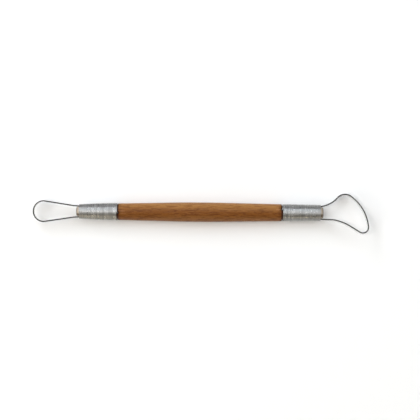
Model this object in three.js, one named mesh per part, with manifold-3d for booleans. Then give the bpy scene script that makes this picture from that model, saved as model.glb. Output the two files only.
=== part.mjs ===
// Double-ended loop tool, for trimming and hollowing soft clay.
//
// A turned hardwood handle has a tenon at each end. A loop of flat steel strip, bent on edge,
// has its two legs in grooves along the sides of each tenon, with their toes hooked into cross
// slots. A winding of thin binding wire holds them there, and its two tails are pushed into
// holes in the tenon. Nothing on the tool moves.
//
// Sizes are in millimetres. X runs along the handle from the small loop to the large loop, and
// Z is up. The origin is the middle of the flat facet that the belly of the handle rests on.

import * as THREE from 'three';
import { mergeVertices } from 'three/addons/utils/BufferGeometryUtils.js';
import Module from 'manifold-3d';

// Handle body, which narrows from the belly to a shoulder at each end
const bellyRadius = 4.77;
const bellyFlatLength = 8;
const bellyRounding = 4;
const smallBodyLength = 40.05;
const largeBodyLength = 40.05;
const smallBodyTaper = 0.72;
const largeBodyTaper = 0.62;
const shoulderChamfer = 0.2;

// Binding wire, wound from each shoulder to just short of the tenon's tip
const bindingWire = 0.4;
const bindingTurns = 22.5;
const bindingPitch = 0.825;
const shoulderGap = 0.3;
const tailBendRadius = 0.6;
const tailLength = 0.7;
const smallTailAngle = 0;
const largeTailAngle = 34;

// How far each winding stands proud of the wood at its shoulder
const smallBindingProud = 0.2;
const largeBindingProud = 0.02;

// Tenons, which narrow ever faster towards their tips, and the bare stub past each winding
const smallTenonTaper = 0.72;
const largeTenonTaper = 0.25;
const tenonTaperPower = 1.8;
const stubLength = 1.2;
const stubTaper = 0.8;

// Strip that both loops are bent from, and its hooked legs under the windings
const stripThickness = 0.6;
const stripHeight = 3;
const toeFromShoulder = 1.6;
const toeInsideBend = 0.25;
const toeLength = 1.9;

// Small loop, a pear: a slight splay at the neck, then two round corners joined at the far end
const smallSplayReach = 2.45;
const smallSplayHalfWidth = 2.82;
const smallSplayRadius = 3;
const smallLoopReach = 22.2;
const smallCornerHalfWidth = 5.85;
const smallCornerRadius = 4.94;

// Large loop, a kidney: for each bend its distance past the winding, its offset from the axis
// and its radius, starting from the upper leg
const largeLoopBends = [
  [5.87, 4.5, 11.65],
  [11.33, 11.22, 4.85],
  [22.5, 1.68, 20.6],
  [23.5, -12.65, 2.8],
  [9.8, -3.95, 22.1],
];

// Each loop is turned this far about the handle's axis, in degrees, within the first stretch
// past its winding. The large loop's upper lobe hangs lower than its other lobe.
const smallLoopTurn = 0;
const largeLoopTurn = -12;
const loopTurnReach = 7;

// Clearances
const bindingClearance = 0.25;
const legClearance = 0.15;
const grooveClearance = 0.25;
const holeClearance = 0.25;

// Fineness of the faceted solids
const handleSides = 32;
const taperSteps = 7;
const tenonSteps = 6;
const roundSteps = 2;
const bindingSides = 6;
const tailBendSteps = 4;
const loopBendStep = THREE.MathUtils.degToRad(5);
const holeSides = 16;
const mergeDistance = 1e-5;

const wood = { color: 0x8a5a30, roughness: 0.55, metalness: 0 };
const loopSteel = { color: 0x8d8f90, roughness: 0.3, metalness: 1 };
const bindingSteel = { color: 0xb4b4b2, roughness: 0.35, metalness: 1 };

const wasm = await Module();
wasm.setup();

// The handle's axis lies one facet's apothem above the face that it rests on.
const axisHeight = bellyRadius * Math.cos(Math.PI / handleSides);
const toeBendRadius = stripThickness / 2 + grooveClearance + toeInsideBend;
const windingLength = bindingTurns * bindingPitch;
const firstTurn = shoulderGap + bindingWire / 2;
const lastTurn = firstTurn + windingLength;
const bindingEnd = lastTurn + bindingWire / 2;
const tenonLength = bindingEnd + stubLength;

// Both ends of the tool are described alike, each looking outwards from its shoulder. way is
// the sign of X there. The tenon is turned down by the winding's thickness, less its proud part.
function toolEnd({ name, way, bodyLength, bodyTaper, proud, tenonTaper, tailAngle, loopTurn, bends }) {
  const shoulderRadius = bellyRadius - bodyTaper;
  const tenonRootRadius = shoulderRadius + proud - bindingWire - bindingClearance;
  return {
    name,
    way,
    bodyLength,
    shoulderRadius,
    tenonRootRadius,
    tenonTaper,
    stubEndRadius: tenonRootRadius - tenonTaper - stubTaper,
    tailAngle: THREE.MathUtils.degToRad(tailAngle),
    loopTurn: THREE.MathUtils.degToRad(loopTurn),
    bends,
  };
}
const smallEnd = toolEnd({
  name: 'small',
  way: -1,
  bodyLength: smallBodyLength,
  bodyTaper: smallBodyTaper,
  proud: smallBindingProud,
  tenonTaper: smallTenonTaper,
  tailAngle: smallTailAngle,
  loopTurn: smallLoopTurn,
  bends: [
    [smallSplayReach, smallSplayHalfWidth, smallSplayRadius],
    [smallLoopReach, smallCornerHalfWidth, smallCornerRadius],
    [smallLoopReach, -smallCornerHalfWidth, smallCornerRadius],
    [smallSplayReach, -smallSplayHalfWidth, smallSplayRadius],
  ],
});
const largeEnd = toolEnd({
  name: 'large',
  way: 1,
  bodyLength: largeBodyLength,
  bodyTaper: largeBodyTaper,
  proud: largeBindingProud,
  tenonTaper: largeTenonTaper,
  tailAngle: largeTailAngle,
  loopTurn: largeLoopTurn,
  bends: largeLoopBends,
});

// Radius of the body at a distance from the middle: a cylinder at the belly, then a long taper
// that starts gently and reaches the shoulder's radius.
function bodyRadius(end, distance) {
  const fall = (d) => Math.hypot(Math.max(0, d - bellyFlatLength / 2), bellyRounding) - bellyRounding;
  return bellyRadius - (bellyRadius - end.shoulderRadius) * fall(distance) / fall(end.bodyLength);
}

// Radius of a tenon at a distance from its shoulder
function tenonRadius(end, distance) {
  const along = THREE.MathUtils.clamp(distance / bindingEnd, 0, 1);
  return end.tenonRootRadius - end.tenonTaper * along ** tenonTaperPower;
}

// Distance from the handle's axis to the middle of a leg's thickness
function legOffset(end, distance) {
  return tenonRadius(end, distance) + bindingClearance - legClearance - stripThickness / 2;
}

// Angle from the side of the tenon to the edge of a leg, where the tenon is thinnest
function legEdgeAngle(end) {
  return Math.atan2(stripHeight / 2, legOffset(end, bindingEnd) + stripThickness / 2);
}

// Distance from the handle's axis to the centre of the binding wire, at an angle from the top.
// The wire runs round the tenon, and bends over both edges of the leg at each side.
function windingRadius(end, distance, angle) {
  const fromSide = Math.acos(Math.abs(Math.sin(angle)));
  const lean = Math.max(0, Math.min(fromSide, 2 * legEdgeAngle(end) - fromSide));
  return (tenonRadius(end, distance) + bindingClearance + bindingWire / 2) / Math.cos(lean);
}

// A path that keeps the stations it is given, so that a tube along it has a ring at each
class WirePath extends THREE.Curve {
  constructor(stations) {
    super();
    this.stations = stations;
  }

  getPoint(t, target = new THREE.Vector3()) {
    const last = this.stations.length - 1;
    const index = Math.min(Math.floor(t * last), last - 1);
    return target.lerpVectors(this.stations[index], this.stations[index + 1], t * last - index);
  }

  getPointAt(u, target) {
    return this.getPoint(u, target);
  }

  getTangentAt(u, target = new THREE.Vector3()) {
    const last = this.stations.length - 1;
    const index = Math.round(u * last);
    const before = this.stations[Math.max(index - 1, 0)];
    const after = this.stations[Math.min(index + 1, last)];
    return target.subVectors(after, before).normalize();
  }
}

function solid(geometry) {
  const bare = geometry.clone();
  bare.deleteAttribute('normal');
  bare.deleteAttribute('uv');
  const merged = mergeVertices(bare, mergeDistance);
  return new wasm.Manifold(new wasm.Mesh({
    numProp: 3,
    vertProperties: merged.attributes.position.array,
    triVerts: merged.index.array,
  }));
}

function geometryOf(manifold) {
  const { vertProperties, triVerts } = manifold.getMesh();
  const geometry = new THREE.BufferGeometry();
  geometry.setAttribute('position', new THREE.BufferAttribute(vertProperties, 3));
  geometry.setIndex(new THREE.BufferAttribute(triVerts, 1));
  return geometry;
}

function roundSection(radius, sides) {
  const corners = [];
  for (let i = 0; i < sides; i += 1) {
    const angle = 2 * Math.PI * (i + 0.5) / sides;
    corners.push(new THREE.Vector2(radius * Math.cos(angle), radius * Math.sin(angle)));
  }
  return new THREE.Shape(corners);
}

// Section of the strip standing on edge, grown by a clearance for the groove that it lies in
function stripSection(clearance) {
  const height = stripHeight / 2 + clearance;
  const thickness = stripThickness / 2 + clearance;
  return new THREE.Shape([
    new THREE.Vector2(-height, -thickness),
    new THREE.Vector2(height, -thickness),
    new THREE.Vector2(height, thickness),
    new THREE.Vector2(-height, thickness),
  ]);
}

function tube(stations, section) {
  return new THREE.ExtrudeGeometry(section, {
    steps: stations.length - 1,
    extrudePath: new WirePath(stations),
    bevelEnabled: false,
  });
}

// Points of a flat line through corners, each corner rounded to its radius. A corner is
// [x, y, radius], and one with no radius stays a point.
function roundedLine(corners) {
  const points = [];
  corners.forEach(([x, y, radius = 0], index) => {
    const corner = new THREE.Vector2(x, y);
    if (radius === 0) {
      points.push(corner);
      return;
    }
    const toBefore = new THREE.Vector2(...corners[index - 1].slice(0, 2)).sub(corner).normalize();
    const toAfter = new THREE.Vector2(...corners[index + 1].slice(0, 2)).sub(corner).normalize();
    const half = Math.acos(THREE.MathUtils.clamp(toBefore.dot(toAfter), -1, 1)) / 2;
    const inward = toBefore.clone().add(toAfter).normalize();
    const centre = corner.clone().addScaledVector(inward, radius / Math.sin(half));
    const start = corner.clone().addScaledVector(toBefore, radius / Math.tan(half)).sub(centre);
    const turn = (Math.PI - 2 * half) * Math.sign(toAfter.cross(toBefore));
    const steps = Math.max(2, Math.ceil(Math.abs(turn) / loopBendStep));
    for (let step = 0; step <= steps; step += 1) {
      points.push(start.clone().rotateAround(new THREE.Vector2(), turn * step / steps).add(centre));
    }
  });
  return points;
}

// Centre line of a loop's strip, from the toe of one leg to the toe of the other, laid flat at
// the height of the handle's axis. toeGrowth makes the toes longer, for their slots.
function loopLine(end, toeGrowth) {
  const toeOffset = legOffset(end, toeFromShoulder);
  const leg = [];
  for (let step = 1; step <= tenonSteps; step += 1) {
    const s = toeFromShoulder + (bindingEnd - toeFromShoulder) * step / tenonSteps;
    leg.push([s, legOffset(end, s)]);
  }
  const hooked = [
    [toeFromShoulder, toeOffset - toeLength - toeGrowth],
    [toeFromShoulder, toeOffset, toeBendRadius],
    ...leg,
  ];
  const mirrored = hooked.map(([s, offset, radius]) => [s, -offset, radius]).reverse();
  const bends = end.bends.map(([reach, offset, radius]) => [bindingEnd + reach, offset, radius]);
  return roundedLine([...hooked, ...bends, ...mirrored]).map((point) => (
    new THREE.Vector3(end.way * (end.bodyLength + point.x), point.y, 0)
  ));
}

// A loop, or with a clearance the groove for its legs. Its legs lie level in the tenon, and it
// turns about the axis just past the winding.
function loopGeometry(end, clearance = 0, toeGrowth = 0) {
  const loop = tube(loopLine(end, toeGrowth), stripSection(clearance));
  const { position } = loop.attributes;
  const lengthwise = new THREE.Vector3(1, 0, 0);
  const point = new THREE.Vector3();
  for (let index = 0; index < position.count; index += 1) {
    point.fromBufferAttribute(position, index);
    const reach = Math.abs(point.x) - end.bodyLength - bindingEnd;
    point.applyAxisAngle(lengthwise, end.loopTurn * THREE.MathUtils.smoothstep(reach, 0, loopTurnReach));
    position.setXYZ(index, point.x, point.y, point.z);
  }
  return loop.translate(0, 0, axisHeight);
}

// Point of the binding wire's centre line, at an angle from the top turned towards +Y
function windingPoint(end, distance, angle) {
  const radius = windingRadius(end, distance, angle);
  return new THREE.Vector3(
    end.way * (end.bodyLength + distance),
    radius * Math.sin(angle),
    axisHeight + radius * Math.cos(angle),
  );
}

// Tail of a winding: it leaves the last turn along its direction, bends towards the axis and
// runs straight in. The hole for it lies on the line from over towards inward.
function tail(end, distance, angle, turning) {
  const start = windingPoint(end, distance, angle);
  const inward = new THREE.Vector3(0, -Math.sin(angle), -Math.cos(angle));
  const along = new THREE.Vector3(0, turning * Math.cos(angle), -turning * Math.sin(angle));
  const over = start.clone().addScaledVector(along, tailBendRadius);
  return { start, inward, along, over };
}

function tailPoints({ start, inward, along, over }) {
  const points = [];
  for (let step = 1; step <= tailBendSteps; step += 1) {
    const angle = Math.PI / 2 * step / tailBendSteps;
    points.push(start.clone().addScaledVector(along, tailBendRadius * Math.sin(angle))
      .addScaledVector(inward, tailBendRadius * (1 - Math.cos(angle))));
  }
  points.push(over.clone().addScaledVector(inward, tailBendRadius + tailLength));
  return points;
}

// Tails of one winding, at the shoulder and at the tip
function windingTails(end) {
  return [
    tail(end, firstTurn, end.tailAngle, -1),
    tail(end, lastTurn, end.tailAngle + 2 * Math.PI * bindingTurns, 1),
  ];
}

// Angles of a winding's points in the half turn from the top to the bottom: evenly round to
// where the wire leaves the round, then at both edges of the leg, and evenly round again
function halfTurnAngles(end) {
  const roundEnd = Math.PI / 2 - 2 * legEdgeAngle(end);
  const angles = [];
  for (let step = 0; step <= roundSteps; step += 1) angles.push(roundEnd * step / roundSteps);
  angles.push(Math.PI / 2 - legEdgeAngle(end));
  const mirrored = angles.slice(1).reverse().map((angle) => Math.PI - angle);
  return [...angles, ...mirrored];
}

// Angles of all the points of a winding. Points that crowd an end of it are left out.
function windingAngles(end) {
  const lastAngle = end.tailAngle + 2 * Math.PI * bindingTurns;
  const halfTurn = halfTurnAngles(end);
  const crowding = halfTurn[1] / 4;
  const between = [];
  for (let turned = 0; turned < lastAngle; turned += Math.PI) {
    between.push(...halfTurn.map((angle) => turned + angle));
  }
  const kept = between.filter((angle) => (
    angle > end.tailAngle + crowding && angle < lastAngle - crowding
  ));
  return [end.tailAngle, ...kept, lastAngle];
}

// Centre line of a binding, from the tail at the shoulder to the tail at the tip
function bindingLine(end) {
  const [rootTail, tipTail] = windingTails(end);
  const turns = windingAngles(end).map((angle) => {
    const distance = firstTurn + bindingPitch * (angle - end.tailAngle) / (2 * Math.PI);
    return windingPoint(end, distance, angle);
  });
  return [...tailPoints(rootTail).reverse(), ...turns, ...tailPoints(tipTail)];
}

// Least gap between stretches of one wire that lie at least so many points apart along it
function leastGap(points, diameter, apart) {
  let least = Infinity;
  points.forEach((point, index) => {
    for (let other = index + apart; other < points.length; other += 1) {
      least = Math.min(least, point.distanceTo(points[other]));
    }
  });
  return least - diameter;
}

function handleProfile() {
  const half = (end) => {
    const points = [];
    for (let step = 0; step < taperSteps; step += 1) {
      const taperLength = end.bodyLength - shoulderChamfer - bellyFlatLength / 2;
      const distance = bellyFlatLength / 2 + taperLength * step / taperSteps;
      points.push([bodyRadius(end, distance), distance]);
    }
    const rim = end.bodyLength - shoulderChamfer;
    points.push([bodyRadius(end, rim), rim]);
    points.push([bodyRadius(end, end.bodyLength) - shoulderChamfer, end.bodyLength]);
    for (let step = 0; step <= tenonSteps; step += 1) {
      const distance = bindingEnd * step / tenonSteps;
      points.push([tenonRadius(end, distance), end.bodyLength + distance]);
    }
    points.push([end.stubEndRadius, end.bodyLength + tenonLength]);
    points.push([0, end.bodyLength + tenonLength]);
    return points.map(([radius, distance]) => new THREE.Vector2(radius, end.way * distance));
  };
  return [...half(smallEnd).reverse(), ...half(largeEnd)];
}

function tailHole({ inward, over }) {
  const radius = bindingWire / 2 + holeClearance;
  const depth = tailBendRadius + tailLength + holeClearance;
  const hole = new THREE.CylinderGeometry(radius, radius, depth, holeSides);
  hole.translate(0, depth / 2, 0);
  hole.applyQuaternion(new THREE.Quaternion().setFromUnitVectors(new THREE.Vector3(0, 1, 0), inward));
  hole.translate(over.x, over.y, over.z);
  return hole;
}

function handleGeometry() {
  const turned = new THREE.LatheGeometry(handleProfile(), handleSides, Math.PI / handleSides);
  turned.rotateZ(-Math.PI / 2);
  turned.translate(0, 0, axisHeight);
  let body = solid(turned);
  for (const end of [smallEnd, largeEnd]) {
    body = body.subtract(solid(loopGeometry(end, grooveClearance, holeClearance)));
    for (const tailEnd of windingTails(end)) {
      body = body.subtract(solid(tailHole(tailEnd)));
    }
  }
  return geometryOf(body);
}

function addPiece(group, name, geometry, finish) {
  geometry.computeVertexNormals();
  const piece = new THREE.Mesh(geometry, new THREE.MeshStandardMaterial(finish));
  piece.name = name;
  group.add(piece);
}

const loopTool = new THREE.Group();
loopTool.name = 'double_ended_loop_tool';
addPiece(loopTool, 'handle', handleGeometry(), wood);
for (const end of [smallEnd, largeEnd]) {
  addPiece(loopTool, `${end.name}_loop`, loopGeometry(end), loopSteel);
  const winding = bindingLine(end);
  const binding = tube(winding, roundSection(bindingWire / 2, bindingSides));
  addPiece(loopTool, `${end.name}_end_binding`, binding, bindingSteel);
  const gap = leastGap(winding, bindingWire, halfTurnAngles(end).length).toFixed(2);
  console.log(`${end.name}_end_binding: least gap between its turns ${gap} mm`);
}

export default loopTool;
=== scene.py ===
"""Looks of a double-ended loop tool for trimming and hollowing soft clay.

The tool is a turned hardwood handle with a loop of flat steel strip on each end, one shaped
like a pear and one like a kidney. A close winding of thin wire binds the legs of each loop to
the handle. The fixed frame gives the place of every piece. X runs along the handle towards
the kidney loop, Z is up, and the origin is under the middle of the belly. Lengths are in
millimetres until a finished mesh is scaled to metres.
"""

from __future__ import annotations

import logging
import math
from dataclasses import dataclass, field
from enum import Enum
from typing import Any, Iterable, Mapping, NamedTuple, Sequence

import bmesh
import bpy
from mathutils import Matrix, Vector

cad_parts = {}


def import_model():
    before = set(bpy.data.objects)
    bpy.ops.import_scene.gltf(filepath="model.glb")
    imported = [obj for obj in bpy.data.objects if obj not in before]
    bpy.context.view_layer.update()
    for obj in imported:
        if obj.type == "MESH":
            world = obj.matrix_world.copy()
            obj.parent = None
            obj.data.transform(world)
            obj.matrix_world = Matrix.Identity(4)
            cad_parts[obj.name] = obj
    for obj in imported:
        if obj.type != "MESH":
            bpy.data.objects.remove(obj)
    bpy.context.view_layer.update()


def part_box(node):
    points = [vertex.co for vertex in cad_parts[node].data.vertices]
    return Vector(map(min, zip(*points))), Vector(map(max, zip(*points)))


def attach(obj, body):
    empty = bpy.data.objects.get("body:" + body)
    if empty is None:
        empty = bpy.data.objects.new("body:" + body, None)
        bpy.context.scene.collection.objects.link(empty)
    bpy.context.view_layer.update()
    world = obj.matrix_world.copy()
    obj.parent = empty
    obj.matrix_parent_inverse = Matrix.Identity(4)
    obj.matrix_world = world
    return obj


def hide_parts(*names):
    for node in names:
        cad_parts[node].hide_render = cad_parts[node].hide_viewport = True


LOG = logging.getLogger("loop_tool")
METRES_PER_MM = 0.001
BODY = "root"
EDGE = "edge"
LEAST_BEND_STEPS = 3

Colour = tuple[float, float, float, float]
Triple = tuple[float, float, float]
Span = tuple[float, float]
WHITE: Colour = (1, 1, 1, 1)


class Slot(Enum):
    """Material slots of the record."""

    WOOD = "oiled_hardwood"
    STRIP = "loop_steel"
    WIRE = "binding_wire"


class NodeBuilder:
    """Adds nodes to one shader tree or geometry tree."""

    def __init__(self, tree: bpy.types.NodeTree) -> None:
        """Keeps the tree that the nodes go into.

        Args:
            tree: A shader tree or a geometry tree.
        """
        self.tree = tree

    def node(
        self,
        kind: str,
        settings: Mapping[str, Any] | None = None,
        inputs: Mapping[str | int, Any] | None = None,
    ) -> bpy.types.Node:
        """Adds a node, sets it up and feeds its sockets.

        Args:
            kind: The node's type.
            settings: Properties of the node, which are set first.
            inputs: Values or links of its sockets, by name or number.

        Returns:
            The new node.
        """
        node = self.tree.nodes.new(kind)
        for name, value in (settings or {}).items():
            setattr(node, name, value)
        for name, value in (inputs or {}).items():
            self.feed(node.inputs[name], value)
        return node

    def feed(self, socket: bpy.types.NodeSocket, value: Any) -> None:
        """Links a socket to another one, or sets its value.

        Args:
            socket: The input socket.
            value: A Number, an output socket or a plain value.
        """
        if isinstance(value, Number):
            value = value.socket
        if isinstance(value, bpy.types.NodeSocket):
            self.tree.links.new(value, socket)
        else:
            socket.default_value = value

    def number(
        self,
        kind: str,
        settings: Mapping[str, Any] | None = None,
        inputs: Mapping[str | int, Any] | None = None,
        output: str | int = 0,
    ) -> Number:
        """Adds a node and returns one of its outputs, ready for arithmetic.

        Args:
            kind: The node's type.
            settings: Properties of the node.
            inputs: Values or links of its sockets.
            output: Name or number of the output.

        Returns:
            The output as a Number.
        """
        return Number(self, self.node(kind, settings, inputs).outputs[output])

    def maths(self, operation: str, *values: Any) -> Number:
        """Adds a Math node.

        Args:
            operation: The Math node's operation.
            values: Up to three Numbers or plain values.

        Returns:
            The result.
        """
        return self.number("ShaderNodeMath", {"operation": operation}, dict(enumerate(values)))

    def axes(self, place: Any) -> tuple[Number, Number, Number]:
        """Splits a vector into its X, Y and Z.

        Args:
            place: The vector.

        Returns:
            The three numbers.
        """
        parts = self.node("ShaderNodeSeparateXYZ", None, {"Vector": place}).outputs
        return Number(self, parts[0]), Number(self, parts[1]), Number(self, parts[2])

    def vector(self, x: Any = 0.0, y: Any = 0.0, z: Any = 0.0) -> bpy.types.NodeSocket:
        """Joins three numbers into a vector."""
        return self.node("ShaderNodeCombineXYZ", None, {"X": x, "Y": y, "Z": z}).outputs[0]


@dataclass(frozen=True)
class Number:
    """A number that a node puts out. Arithmetic on it adds Math nodes."""

    builder: NodeBuilder
    socket: bpy.types.NodeSocket

    def __add__(self, other: Any) -> Number:
        """Sum."""
        return self.builder.maths("ADD", self, other)

    __radd__ = __add__

    def __sub__(self, other: Any) -> Number:
        """Difference."""
        return self.builder.maths("SUBTRACT", self, other)

    def __rsub__(self, other: Any) -> Number:
        """Difference, the other way round."""
        return self.builder.maths("SUBTRACT", other, self)

    def __mul__(self, other: Any) -> Number:
        """Product."""
        return self.builder.maths("MULTIPLY", self, other)

    __rmul__ = __mul__

    def __truediv__(self, other: Any) -> Number:
        """Quotient."""
        return self.builder.maths("DIVIDE", self, other)

    def __rtruediv__(self, other: Any) -> Number:
        """Quotient, the other way round."""
        return self.builder.maths("DIVIDE", other, self)

    def __pow__(self, other: Any) -> Number:
        """Power."""
        return self.builder.maths("POWER", self, other)

    def __abs__(self) -> Number:
        """Size without sign."""
        return self.builder.maths("ABSOLUTE", self)

    def __gt__(self, other: Any) -> Number:
        """One where this is larger, and otherwise zero."""
        return self.builder.maths("GREATER_THAN", self, other)

    def least(self, other: Any) -> Number:
        """The smaller of two numbers."""
        return self.builder.maths("MINIMUM", self, other)

    def most(self, other: Any) -> Number:
        """The larger of two numbers."""
        return self.builder.maths("MAXIMUM", self, other)

    def sine(self) -> Number:
        """Sine of an angle in radians."""
        return self.builder.maths("SINE", self)

    def cosine(self) -> Number:
        """Cosine of an angle in radians."""
        return self.builder.maths("COSINE", self)

    def root(self) -> Number:
        """Square root."""
        return self.builder.maths("SQRT", self)

    def eased(self, start: Any, end: Any) -> Number:
        """Smooth step.

        Args:
            start: Where it leaves zero.
            end: Where it reaches one.

        Returns:
            A number from zero to one.
        """
        settings = {"interpolation_type": "SMOOTHSTEP"}
        inputs = {"Value": self, "From Min": start, "From Max": end}
        return self.builder.number("ShaderNodeMapRange", settings, inputs)


class GeometryTree(NodeBuilder):
    """A Geometry Nodes tree with named inputs for its sizes."""

    def __init__(self, name: str, lengths: Iterable[str], counts: Iterable[str]) -> None:
        """Makes the tree with its inputs and its output.

        Args:
            name: The tree's name.
            lengths: Names of the inputs that are lengths, angles or other measures.
            counts: Names of the inputs that are whole numbers.
        """
        super().__init__(bpy.data.node_groups.new(name, "GeometryNodeTree"))
        self.identifiers: dict[str, str] = {}
        sockets = [("Shape", "Geometry"), ("Finish", "Material")]
        sockets += [(length, "Float") for length in lengths]
        sockets += [(count, "Int") for count in counts]
        for label, kind in sockets:
            item = self.tree.interface.new_socket(
                name=label, in_out="INPUT", socket_type=f"NodeSocket{kind}"
            )
            self.identifiers[label] = item.identifier
        self.tree.interface.new_socket(
            name="Shape", in_out="OUTPUT", socket_type="NodeSocketGeometry"
        )
        self.group_input = self.node("NodeGroupInput")

    def size(self, name: str) -> Number:
        """A named input, ready for arithmetic."""
        return Number(self, self.group_input.outputs[name])

    def bar_section(self, width: Number, height: Number) -> bpy.types.NodeSocket:
        """A rectangle with rounded corners, to be swept along a line.

        Args:
            width: Its width.
            height: Its height.

        Returns:
            The closed curve.
        """
        inputs = {"Width": width, "Height": height}
        outline = self.node("GeometryNodeCurvePrimitiveQuadrilateral", None, inputs)
        inputs = {
            "Curve": outline.outputs[0],
            "Count": self.size("Edge Steps"),
            "Radius": self.size("Edge Radius"),
        }
        return self.node("GeometryNodeFilletCurve", {"mode": "POLY"}, inputs).outputs[0]

    def swept(self, line: Any, section: Any, scale: Any = 1.0) -> bpy.types.NodeSocket:
        """Sweeps a section along a line into a closed mesh.

        Args:
            line: The curve to follow.
            section: The closed curve to sweep.
            scale: Size of the section at each point of the line.

        Returns:
            The mesh.
        """
        inputs = {"Curve": line, "Profile Curve": section, "Scale": scale, "Fill Caps": True}
        return self.node("GeometryNodeCurveToMesh", None, inputs).outputs["Mesh"]

    def finish(self, mesh: Any) -> None:
        """Ends the tree with plain geometry that has its material.

        Args:
            mesh: The mesh to put out.
        """
        plain = self.node("GeometryNodeRealizeInstances", None, {"Geometry": mesh})
        inputs = {"Geometry": plain.outputs[0], "Material": self.size("Finish")}
        dressed = self.node("GeometryNodeSetMaterial", None, inputs)
        self.node("NodeGroupOutput", None, {"Shape": dressed.outputs[0]})

    def grow(
        self,
        name: str,
        start: bpy.types.Mesh,
        material: bpy.types.Material,
        sizes: Mapping[str, float | int],
    ) -> bpy.types.Object:
        """Runs the tree and keeps what it makes as a plain mesh.

        Args:
            name: Name of the new object.
            start: The mesh that the tree starts from.
            material: The finish of the result.
            sizes: Values of the named inputs.

        Returns:
            An object with a plain mesh and no modifier.
        """
        piece = placed(name, start)
        modifier = piece.modifiers.new(name, "NODES")
        modifier.node_group = self.tree
        modifier[self.identifiers["Finish"]] = material
        for label, value in sizes.items():
            modifier[self.identifiers[label]] = value
        keep_evaluated(piece)
        return piece


def placed(name: str, data: bpy.types.ID) -> bpy.types.Object:
    """Adds an object to the scene.

    Args:
        name: The object's name.
        data: Its mesh, lamp or camera.

    Returns:
        The object, at the origin.
    """
    thing = bpy.data.objects.new(name, data)
    bpy.context.scene.collection.objects.link(thing)
    return thing


def keep_evaluated(piece: bpy.types.Object) -> None:
    """Replaces an object's mesh by what its modifiers make of it, and removes them.

    Args:
        piece: The object.
    """
    bpy.context.view_layer.update()
    evaluated = piece.evaluated_get(bpy.context.evaluated_depsgraph_get())
    mesh = bpy.data.meshes.new_from_object(evaluated)
    piece.modifiers.clear()
    piece.data = mesh
    mesh.name = piece.name


def clean_cuts(mesh: bpy.types.Mesh, gap: float) -> None:
    """Merges the doubled points that cutting leaves, and drops the loose slivers between them.

    Args:
        mesh: The cut mesh.
        gap: Largest distance between doubled points.
    """
    work = bmesh.new()
    work.from_mesh(mesh)
    bmesh.ops.triangulate(work, faces=work.faces)
    bmesh.ops.dissolve_degenerate(work, edges=work.edges, dist=gap)
    bmesh.ops.remove_doubles(work, verts=work.verts, dist=gap)
    left = set(work.faces)
    surfaces: list[list[bmesh.types.BMFace]] = []
    while left:
        surface = [left.pop()]
        for face in surface:
            for edge in face.edges:
                fresh = [other for other in edge.link_faces if other in left]
                if len(edge.link_faces) == 2:
                    left.difference_update(fresh)
                    surface += fresh
        surfaces.append(surface)
    surfaces.sort(key=len)
    slivers = [face for surface in surfaces[:-1] for face in surface]
    bmesh.ops.delete(work, geom=slivers, context="FACES")
    work.to_mesh(mesh)
    work.free()


def chain(name: str, points: Iterable[Sequence[float]]) -> bpy.types.Mesh:
    """A mesh of points joined one after another by edges.

    Args:
        name: The mesh's name.
        points: Their coordinates.

    Returns:
        The mesh.
    """
    corners = [Vector(point) for point in points]
    mesh = bpy.data.meshes.new(name)
    mesh.from_pydata(corners, [(i, i + 1) for i in range(len(corners) - 1)], [])
    return mesh


def rounded_line(corners: Sequence[Sequence[float]], bend_step: float) -> list[Vector]:
    """Points of a flat line through corners, each rounded to its radius.

    Args:
        corners: (x, y) or (x, y, radius) of each corner.
        bend_step: Largest turn between two points of a bend, in radians.

    Returns:
        The points, in order.
    """
    points: list[Vector] = []
    flat = [Vector(corner[:2]) for corner in corners]
    for index, corner in enumerate(corners):
        if len(corner) < 3:
            points.append(flat[index])
            continue
        to_before = (flat[index - 1] - flat[index]).normalized()
        to_after = (flat[index + 1] - flat[index]).normalized()
        half = to_before.angle(to_after) / 2
        radius = corner[2]
        centre = flat[index] + (to_before + to_after).normalized() * radius / math.sin(half)
        start = flat[index] + to_before * radius / math.tan(half) - centre
        turn = (math.pi - 2 * half) * math.copysign(1, to_after.cross(to_before))
        steps = max(LEAST_BEND_STEPS, math.ceil(abs(turn) / bend_step))
        points += [centre + Matrix.Rotation(turn * i / steps, 2) @ start for i in range(steps + 1)]
    return points


@dataclass(frozen=True)
class Frame:
    """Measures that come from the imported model.

    Attributes:
        axis_height: Height of the handle's axis above the ground.
        half_length: Distance from the middle of the handle to either end face.
    """

    axis_height: float
    half_length: float

    @staticmethod
    def read() -> Frame:
        """Reads the measures off the handle's box.

        Returns:
            The measures, in millimetres.
        """
        low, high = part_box("handle")
        return Frame(
            axis_height=(low.z + high.z) / 2 / METRES_PER_MM,
            half_length=(high.x - low.x) / 2 / METRES_PER_MM,
        )


@dataclass(frozen=True)
class Tenon:
    """What both tenons, their grooves and their windings have in common."""

    binding_length: float = 19.2625
    stub_length: float = 1.2
    taper_power: float = 1.8
    stub_taper: float = 0.8
    wire: float = 0.4
    binding_clearance: float = 0.25
    leg_clearance: float = 0.15
    strip_thickness: float = 0.6
    strip_height: float = 3.0
    turns: float = 46.5
    first_turn: float = 0.52
    last_gap: float = 0.2
    tail_bend_radius: float = 0.6
    tail_lean: float = 0.5
    tail_length: float = 0.7
    toe_from_shoulder: float = 1.6
    toe_length: float = 1.9
    toe_bend_radius: float = 0.8
    leg_points: int = 24

    @property
    def length(self) -> float:
        """Length of a tenon with its bare stub."""
        return self.binding_length + self.stub_length


class Bend(NamedTuple):
    """One bend of a loop, as the corner that it rounds off.

    Attributes:
        past: Distance of the corner past the winding.
        across: Place of the corner towards +Y.
        radius: Radius of the bend.
    """

    past: float
    across: float
    radius: float

    def mirrored(self) -> Bend:
        """The same bend on the other side of the axis."""
        return Bend(self.past, -self.across, self.radius)


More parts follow.
